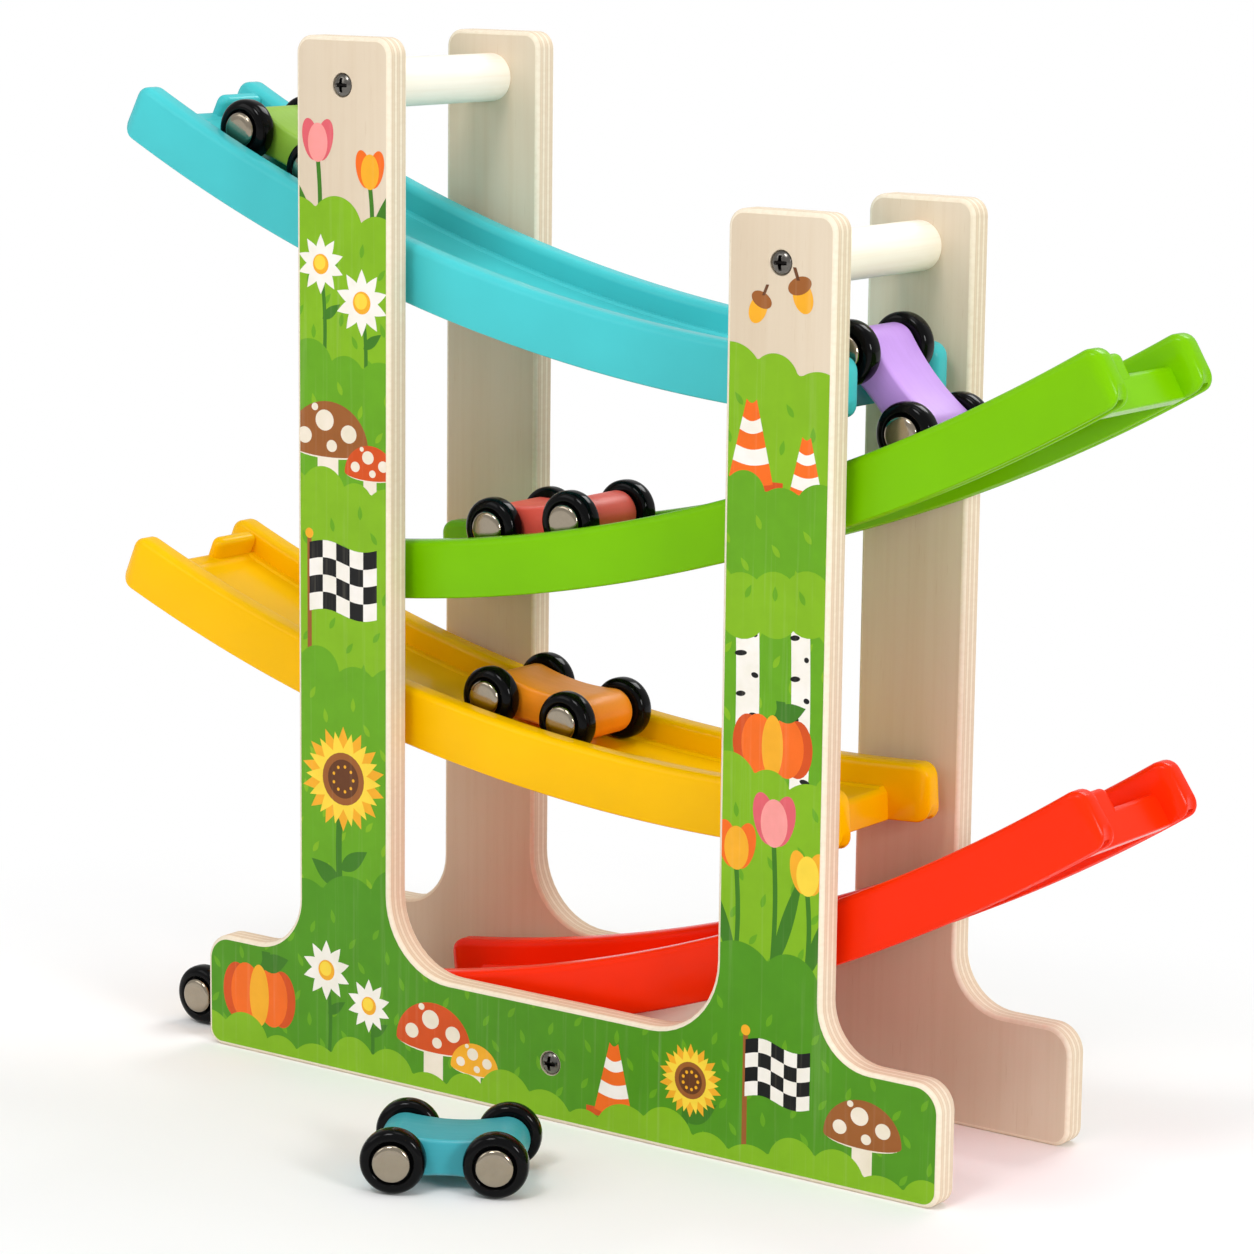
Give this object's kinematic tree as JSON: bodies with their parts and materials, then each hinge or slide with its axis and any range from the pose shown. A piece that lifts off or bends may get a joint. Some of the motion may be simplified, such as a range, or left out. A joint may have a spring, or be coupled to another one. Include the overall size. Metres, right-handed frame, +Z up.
{
  "type": "toy car ramp racer",
  "caption": "Zig-zag toy race track: two plywood panels joined by dowels carry curved plastic ramps that small wooden cars roll down, flipping from each ramp to the next.",
  "frame": {"origin": "on the table, under the middle of the front panel's foot, half way through its thickness", "axes": "+X along the track towards the shorter post, +Y from the front panel to the rear one, +Z up"},
  "size_m": [0.3389, 0.1592, 0.3],
  "materials": {
    "plywood": "satin",
    "dowel_wood": "satin",
    "screw_steel": "satin",
    "cyan_plastic": "gloss",
    "green_plastic": "gloss",
    "yellow_plastic": "gloss",
    "red_plastic": "gloss",
    "green_car_paint": "painted satin",
    "red_car_paint": "painted satin",
    "orange_car_paint": "painted satin",
    "purple_car_paint": "painted satin",
    "cyan_car_paint": "painted satin",
    "yellow_car_paint": "painted satin",
    "wheel_black": "gloss",
    "axle_chrome": "polished"
  },
  "bodies": {
    "track": {"front_panel": "plywood", "rear_panel": "plywood", "top_dowel": "dowel_wood", "front_screw_top": "screw_steel", "rear_screw_top": "screw_steel", "side_dowel": "dowel_wood", "front_screw_side": "screw_steel", "rear_screw_side": "screw_steel", "base_dowel": "dowel_wood", "front_screw_base": "screw_steel", "rear_screw_base": "screw_steel", "cyan_ramp": "cyan_plastic", "green_ramp": "green_plastic", "yellow_ramp": "yellow_plastic", "red_ramp": "red_plastic"},
    "green_car": {"green_car_body": "green_car_paint"},
    "green_car_front_wheels": {"green_car_front_axle": "axle_chrome", "green_car_front_left_wheel": "wheel_black", "green_car_front_right_wheel": "wheel_black"},
    "green_car_rear_wheels": {"green_car_rear_axle": "axle_chrome", "green_car_rear_left_wheel": "wheel_black", "green_car_rear_right_wheel": "wheel_black"},
    "red_car": {"red_car_body": "red_car_paint"},
    "red_car_front_wheels": {"red_car_front_axle": "axle_chrome", "red_car_front_left_wheel": "wheel_black", "red_car_front_right_wheel": "wheel_black"},
    "red_car_rear_wheels": {"red_car_rear_axle": "axle_chrome", "red_car_rear_left_wheel": "wheel_black", "red_car_rear_right_wheel": "wheel_black"},
    "orange_car": {"orange_car_body": "orange_car_paint"},
    "orange_car_front_wheels": {"orange_car_front_axle": "axle_chrome", "orange_car_front_left_wheel": "wheel_black", "orange_car_front_right_wheel": "wheel_black"},
    "orange_car_rear_wheels": {"orange_car_rear_axle": "axle_chrome", "orange_car_rear_left_wheel": "wheel_black", "orange_car_rear_right_wheel": "wheel_black"},
    "purple_car": {"purple_car_body": "purple_car_paint"},
    "purple_car_front_wheels": {"purple_car_front_axle": "axle_chrome", "purple_car_front_left_wheel": "wheel_black", "purple_car_front_right_wheel": "wheel_black"},
    "purple_car_rear_wheels": {"purple_car_rear_axle": "axle_chrome", "purple_car_rear_left_wheel": "wheel_black", "purple_car_rear_right_wheel": "wheel_black"},
    "cyan_car": {"cyan_car_body": "cyan_car_paint"},
    "cyan_car_front_wheels": {"cyan_car_front_axle": "axle_chrome", "cyan_car_front_left_wheel": "wheel_black", "cyan_car_front_right_wheel": "wheel_black"},
    "cyan_car_rear_wheels": {"cyan_car_rear_axle": "axle_chrome", "cyan_car_rear_left_wheel": "wheel_black", "cyan_car_rear_right_wheel": "wheel_black"},
    "yellow_car": {"yellow_car_body": "yellow_car_paint"},
    "yellow_car_front_wheels": {"yellow_car_front_axle": "axle_chrome", "yellow_car_front_left_wheel": "wheel_black", "yellow_car_front_right_wheel": "wheel_black"},
    "yellow_car_rear_wheels": {"yellow_car_rear_axle": "axle_chrome", "yellow_car_rear_left_wheel": "wheel_black", "yellow_car_rear_right_wheel": "wheel_black"}
  },
  "joints": [
    {"name": "green_car_roll", "type": "hinge", "parent": "track", "child": "green_car", "pos_m": [0.08789, 0.034, 0.75998], "axis": [0, 1, 0], "range_deg": [-18, 1.2]},
    {"name": "green_car_front_wheels_turn", "type": "hinge", "parent": "green_car", "child": "green_car_front_wheels", "pos_m": [-0.107, 0.034, 0.25981], "axis": [0, 1, 0], "continuous": true},
    {"name": "green_car_rear_wheels_turn", "type": "hinge", "parent": "green_car", "child": "green_car_rear_wheels", "pos_m": [-0.13245, 0.034, 0.27048], "axis": [0, 1, 0], "continuous": true},
    {"name": "red_car_roll", "type": "hinge", "parent": "track", "child": "red_car", "pos_m": [-0.11693, 0.034, 0.69319], "axis": [0, 1, 0], "range_deg": [-9.8, 3]},
    {"name": "red_car_front_wheels_turn", "type": "hinge", "parent": "red_car", "child": "red_car_front_wheels", "pos_m": [-0.04009, 0.034, 0.16192], "axis": [0, 1, 0], "continuous": true},
    {"name": "red_car_rear_wheels_turn", "type": "hinge", "parent": "red_car", "child": "red_car_rear_wheels", "pos_m": [-0.01288, 0.034, 0.16657], "axis": [0, 1, 0], "continuous": true},
    {"name": "orange_car_roll", "type": "hinge", "parent": "track", "child": "orange_car", "pos_m": [0.04861, 0.034, 0.64217], "axis": [0, 1, 0], "range_deg": [-8.6, 11.5]},
    {"name": "orange_car_front_wheels_turn", "type": "hinge", "parent": "orange_car", "child": "orange_car_front_wheels", "pos_m": [-0.01348, 0.034, 0.10897], "axis": [0, 1, 0], "continuous": true},
    {"name": "orange_car_rear_wheels_turn", "type": "hinge", "parent": "orange_car", "child": "orange_car_rear_wheels", "pos_m": [-0.0408, 0.034, 0.11287], "axis": [0, 1, 0], "continuous": true},
    {"name": "purple_car_flip", "type": "hinge", "parent": "track", "child": "purple_car", "pos_m": [0.09759, 0.034, 0.20112], "axis": [0, 1, 0], "range_deg": [0, 107.5]},
    {"name": "purple_car_front_wheels_turn", "type": "hinge", "parent": "purple_car", "child": "purple_car_front_wheels", "pos_m": [0.09759, 0.034, 0.20112], "axis": [0, 1, 0], "continuous": true},
    {"name": "purple_car_rear_wheels_turn", "type": "hinge", "parent": "purple_car", "child": "purple_car_rear_wheels", "pos_m": [0.07879, 0.034, 0.22132], "axis": [0, 1, 0], "continuous": true},
    {"name": "cyan_car_roll", "type": "slide", "parent": "track", "child": "cyan_car", "axis": [0.866, 0.5, 0], "range_m": [-0.08, 0.05]},
    {"name": "cyan_car_front_wheels_turn", "type": "hinge", "parent": "cyan_car", "child": "cyan_car_front_wheels", "pos_m": [0.02245, -0.0546, 0.00915], "axis": [-0.5, 0.866, 0], "continuous": true},
    {"name": "cyan_car_rear_wheels_turn", "type": "hinge", "parent": "cyan_car", "child": "cyan_car_rear_wheels", "pos_m": [-0.00145, -0.0684, 0.00915], "axis": [-0.5, 0.866, 0], "continuous": true},
    {"name": "yellow_car_roll", "type": "slide", "parent": "track", "child": "yellow_car", "axis": [-1, 0, 0], "range_m": [-0.02, 0.08]},
    {"name": "yellow_car_front_wheels_turn", "type": "hinge", "parent": "yellow_car", "child": "yellow_car_front_wheels", "pos_m": [-0.1428, 0.024, 0.00915], "axis": [0, -1, 0], "continuous": true},
    {"name": "yellow_car_rear_wheels_turn", "type": "hinge", "parent": "yellow_car", "child": "yellow_car_rear_wheels", "pos_m": [-0.1152, 0.024, 0.00915], "axis": [0, -1, 0], "continuous": true}
  ],
  "couplings": [
    {"joint": "green_car_front_wheels_turn", "follows": "green_car_roll", "ratio": -61.348},
    {"joint": "green_car_rear_wheels_turn", "follows": "green_car_roll", "ratio": -61.348},
    {"joint": "red_car_front_wheels_turn", "follows": "red_car_roll", "ratio": -61.348},
    {"joint": "red_car_rear_wheels_turn", "follows": "red_car_roll", "ratio": -61.348},
    {"joint": "orange_car_front_wheels_turn", "follows": "orange_car_roll", "ratio": -61.348},
    {"joint": "orange_car_rear_wheels_turn", "follows": "orange_car_roll", "ratio": -61.348},
    {"joint": "cyan_car_front_wheels_turn", "follows": "cyan_car_roll", "rad_per_m": 112.36},
    {"joint": "cyan_car_rear_wheels_turn", "follows": "cyan_car_roll", "rad_per_m": 112.36},
    {"joint": "yellow_car_front_wheels_turn", "follows": "yellow_car_roll", "rad_per_m": 112.36},
    {"joint": "yellow_car_rear_wheels_turn", "follows": "yellow_car_roll", "rad_per_m": 112.36}
  ]
}
